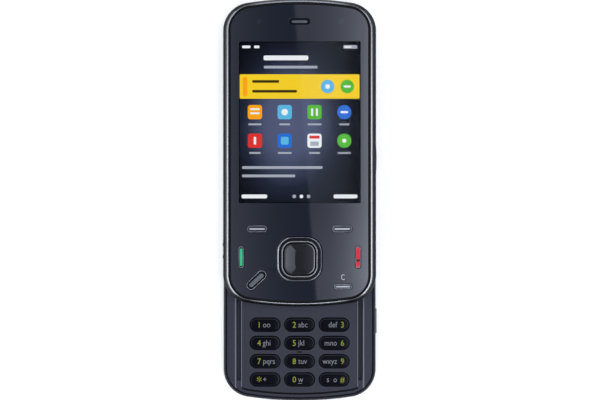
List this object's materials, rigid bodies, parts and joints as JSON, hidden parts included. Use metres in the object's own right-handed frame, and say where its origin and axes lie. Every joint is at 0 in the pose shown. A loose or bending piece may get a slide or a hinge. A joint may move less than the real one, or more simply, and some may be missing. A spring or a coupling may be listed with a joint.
{
  "type": "slider phone",
  "caption": "Two-way slider phone: a screen half slides on a keypad half, with press keys, a rocking navigation key, side keys, a lens cover, a kickstand and a battery cover.",
  "frame": {"origin": "middle of the keypad half's flat back, which the phone lies on", "axes": "+Y along the phone towards the earpiece, +Z out of the screen, +X to the right of the keypad"},
  "size_m": [0.052, 0.1354, 0.0165],
  "materials": {
    "shell": "satin graphite",
    "face_plate": "satin graphite plastic",
    "bezel": "dark polished chrome",
    "rear_plate": "dark painted sheet",
    "steel": "pressed sheet",
    "gasket": "matt black",
    "window": "polished clear face, printed dark blue-grey behind",
    "screen": "lit display",
    "key_black": "gloss black with light legends",
    "key_grey": "satin grey bars in dark slots",
    "key_green": "lit green",
    "key_red": "lit red",
    "nav": "dark polished metal",
    "side_key": "satin black",
    "cover": "fine-grained black",
    "glass": "coated lens glass",
    "board": "green solder mask",
    "module": "moulded black",
    "cell": "wrapped cell",
    "lamp": "frosted yellow lens",
    "grille": "moulded grille"
  },
  "bodies": {
    "keypad_half": {"base_shell": "shell", "keypad_deck": "face_plate", "slide_rails": "steel", "battery": "cell", "main_board": "board", "dome_sheet": "steel", "camera_module": "module", "camera_glass": "glass", "flash_lamps": "lamp", "loudspeakers": "module", "speaker_grilles": "side_key", "vibration_motor": "steel", "headset_socket": "module", "usb_socket": "steel", "housing_screws": "steel"},
    "screen_half": {"slide_plate": "rear_plate", "slide_runners": "steel", "bezel_frame": "bezel", "window_gasket": "gasket", "front_window": "window", "display_module": "screen", "face_board": "board", "earpiece_speaker": "module", "earpiece_grille": "grille", "front_camera": "glass"},
    "key_1": {"key_1": "key_black"},
    "key_2": {"key_2": "key_black"},
    "key_3": {"key_3": "key_black"},
    "key_4": {"key_4": "key_black"},
    "key_5": {"key_5": "key_black"},
    "key_6": {"key_6": "key_black"},
    "key_7": {"key_7": "key_black"},
    "key_8": {"key_8": "key_black"},
    "key_9": {"key_9": "key_black"},
    "key_star": {"key_star": "key_black"},
    "key_0": {"key_0": "key_black"},
    "key_hash": {"key_hash": "key_black"},
    "media_rewind": {"media_rewind": "key_black"},
    "media_play": {"media_play": "key_black"},
    "media_stop": {"media_stop": "key_black"},
    "media_forward": {"media_forward": "key_black"},
    "soft_key_left": {"soft_key_left": "key_grey"},
    "soft_key_right": {"soft_key_right": "key_grey"},
    "call_key": {"call_key": "key_green"},
    "end_key": {"end_key": "key_red"},
    "menu_key": {"menu_key": "key_grey"},
    "clear_key": {"clear_key": "key_grey"},
    "centre_key": {"centre_key": "nav"},
    "camera_key": {"camera_key": "side_key"},
    "power_key": {"power_key": "side_key"},
    "volume_key": {"volume_key": "side_key"},
    "keylock_slider": {"keylock_slider": "side_key"},
    "nav_pad": {"nav_pad": "gasket"},
    "nav_ring": {"nav_ring": "nav"},
    "lens_cover": {"lens_cover": "side_key"},
    "kickstand": {"kickstand": "bezel"},
    "battery_cover": {"battery_cover": "cover"}
  },
  "joints": [
    {"name": "half_slide", "type": "slide", "parent": "keypad_half", "child": "screen_half", "axis": [0, 1, 0], "range_m": [-0.0468, 0]},
    {"name": "key_1_press", "type": "slide", "parent": "keypad_half", "child": "key_1", "axis": [0, 0, -1], "range_m": [0, 0.00025], "stiffness_N_per_m": 300, "springref_m": -0.0002},
    {"name": "key_2_press", "type": "slide", "parent": "keypad_half", "child": "key_2", "axis": [0, 0, -1], "range_m": [0, 0.00025], "stiffness_N_per_m": 300, "springref_m": -0.0002},
    {"name": "key_3_press", "type": "slide", "parent": "keypad_half", "child": "key_3", "axis": [0, 0, -1], "range_m": [0, 0.00025], "stiffness_N_per_m": 300, "springref_m": -0.0002},
    {"name": "key_4_press", "type": "slide", "parent": "keypad_half", "child": "key_4", "axis": [0, 0, -1], "range_m": [0, 0.00025], "stiffness_N_per_m": 300, "springref_m": -0.0002},
    {"name": "key_5_press", "type": "slide", "parent": "keypad_half", "child": "key_5", "axis": [0, 0, -1], "range_m": [0, 0.00025], "stiffness_N_per_m": 300, "springref_m": -0.0002},
    {"name": "key_6_press", "type": "slide", "parent": "keypad_half", "child": "key_6", "axis": [0, 0, -1], "range_m": [0, 0.00025], "stiffness_N_per_m": 300, "springref_m": -0.0002},
    {"name": "key_7_press", "type": "slide", "parent": "keypad_half", "child": "key_7", "axis": [0, 0, -1], "range_m": [0, 0.00025], "stiffness_N_per_m": 300, "springref_m": -0.0002},
    {"name": "key_8_press", "type": "slide", "parent": "keypad_half", "child": "key_8", "axis": [0, 0, -1], "range_m": [0, 0.00025], "stiffness_N_per_m": 300, "springref_m": -0.0002},
    {"name": "key_9_press", "type": "slide", "parent": "keypad_half", "child": "key_9", "axis": [0, 0, -1], "range_m": [0, 0.00025], "stiffness_N_per_m": 300, "springref_m": -0.0002},
    {"name": "key_star_press", "type": "slide", "parent": "keypad_half", "child": "key_star", "axis": [0, 0, -1], "range_m": [0, 0.00025], "stiffness_N_per_m": 300, "springref_m": -0.0002},
    {"name": "key_0_press", "type": "slide", "parent": "keypad_half", "child": "key_0", "axis": [0, 0, -1], "range_m": [0, 0.00025], "stiffness_N_per_m": 300, "springref_m": -0.0002},
    {"name": "key_hash_press", "type": "slide", "parent": "keypad_half", "child": "key_hash", "axis": [0, 0, -1], "range_m": [0, 0.00025], "stiffness_N_per_m": 300, "springref_m": -0.0002},
    {"name": "media_rewind_press", "type": "slide", "parent": "keypad_half", "child": "media_rewind", "axis": [0, 0, -1], "range_m": [0, 0.00025], "stiffness_N_per_m": 300, "springref_m": -0.0002},
    {"name": "media_play_press", "type": "slide", "parent": "keypad_half", "child": "media_play", "axis": [0, 0, -1], "range_m": [0, 0.00025], "stiffness_N_per_m": 300, "springref_m": -0.0002},
    {"name": "media_stop_press", "type": "slide", "parent": "keypad_half", "child": "media_stop", "axis": [0, 0, -1], "range_m": [0, 0.00025], "stiffness_N_per_m": 300, "springref_m": -0.0002},
    {"name": "media_forward_press", "type": "slide", "parent": "keypad_half", "child": "media_forward", "axis": [0, 0, -1], "range_m": [0, 0.00025], "stiffness_N_per_m": 300, "springref_m": -0.0002},
    {"name": "soft_key_left_press", "type": "slide", "parent": "screen_half", "child": "soft_key_left", "axis": [0, 0, -1], "range_m": [0, 0.00025], "stiffness_N_per_m": 300, "springref_m": -0.0002},
    {"name": "soft_key_right_press", "type": "slide", "parent": "screen_half", "child": "soft_key_right", "axis": [0, 0, -1], "range_m": [0, 0.00025], "stiffness_N_per_m": 300, "springref_m": -0.0002},
    {"name": "call_key_press", "type": "slide", "parent": "screen_half", "child": "call_key", "axis": [0, 0, -1], "range_m": [0, 0.00025], "stiffness_N_per_m": 300, "springref_m": -0.0002},
    {"name": "end_key_press", "type": "slide", "parent": "screen_half", "child": "end_key", "axis": [0, 0, -1], "range_m": [0, 0.00025], "stiffness_N_per_m": 300, "springref_m": -0.0002},
    {"name": "menu_key_press", "type": "slide", "parent": "screen_half", "child": "menu_key", "axis": [0, 0, -1], "range_m": [0, 0.00025], "stiffness_N_per_m": 300, "springref_m": -0.0002},
    {"name": "clear_key_press", "type": "slide", "parent": "screen_half", "child": "clear_key", "axis": [0, 0, -1], "range_m": [0, 0.00025], "stiffness_N_per_m": 300, "springref_m": -0.0002},
    {"name": "centre_key_press", "type": "slide", "parent": "screen_half", "child": "centre_key", "axis": [0, 0, -1], "range_m": [0, 0.00025], "stiffness_N_per_m": 300, "springref_m": -0.0002},
    {"name": "camera_key_press", "type": "slide", "parent": "keypad_half", "child": "camera_key", "axis": [-1, 0, 0], "range_m": [0, 0.00025], "stiffness_N_per_m": 300, "springref_m": -0.0002},
    {"name": "power_key_press", "type": "slide", "parent": "keypad_half", "child": "power_key", "axis": [0, -1, 0], "range_m": [0, 0.00025], "stiffness_N_per_m": 300, "springref_m": -0.0002},
    {"name": "volume_rock", "type": "hinge", "parent": "keypad_half", "child": "volume_key", "pos_m": [0.0225, 0.03, 0.0047], "axis": [0, 0, 1], "range_deg": [-1.5, 1.5], "stiffness_Nm_per_rad": 0.02},
    {"name": "keylock_slide", "type": "slide", "parent": "keypad_half", "child": "keylock_slider", "axis": [0, -1, 0], "range_m": [0, 0.0012], "stiffness_N_per_m": 200, "springref_m": -0.0003},
    {"name": "nav_rock_up_down", "type": "hinge", "parent": "screen_half", "child": "nav_pad", "pos_m": [0, -0.0037, 0.0145], "axis": [1, 0, 0], "range_deg": [-1.5, 1.5], "stiffness_Nm_per_rad": 0.02},
    {"name": "nav_rock_left_right", "type": "hinge", "parent": "nav_pad", "child": "nav_ring", "pos_m": [0, -0.0037, 0.0148], "axis": [0, 1, 0], "range_deg": [-1.5, 1.5], "stiffness_Nm_per_rad": 0.02},
    {"name": "lens_cover_slide", "type": "slide", "parent": "keypad_half", "child": "lens_cover", "axis": [-1, 0, 0], "range_m": [0, 0.0086]},
    {"name": "kickstand_hinge", "type": "hinge", "parent": "keypad_half", "child": "kickstand", "pos_m": [-0.013, 0.033, 0.00085], "axis": [0, 1, 0], "range_deg": [0, 55]},
    {"name": "battery_cover_lift", "type": "slide", "parent": "keypad_half", "child": "battery_cover", "axis": [0, 0, -1], "range_m": [0, 0.02]}
  ]
}
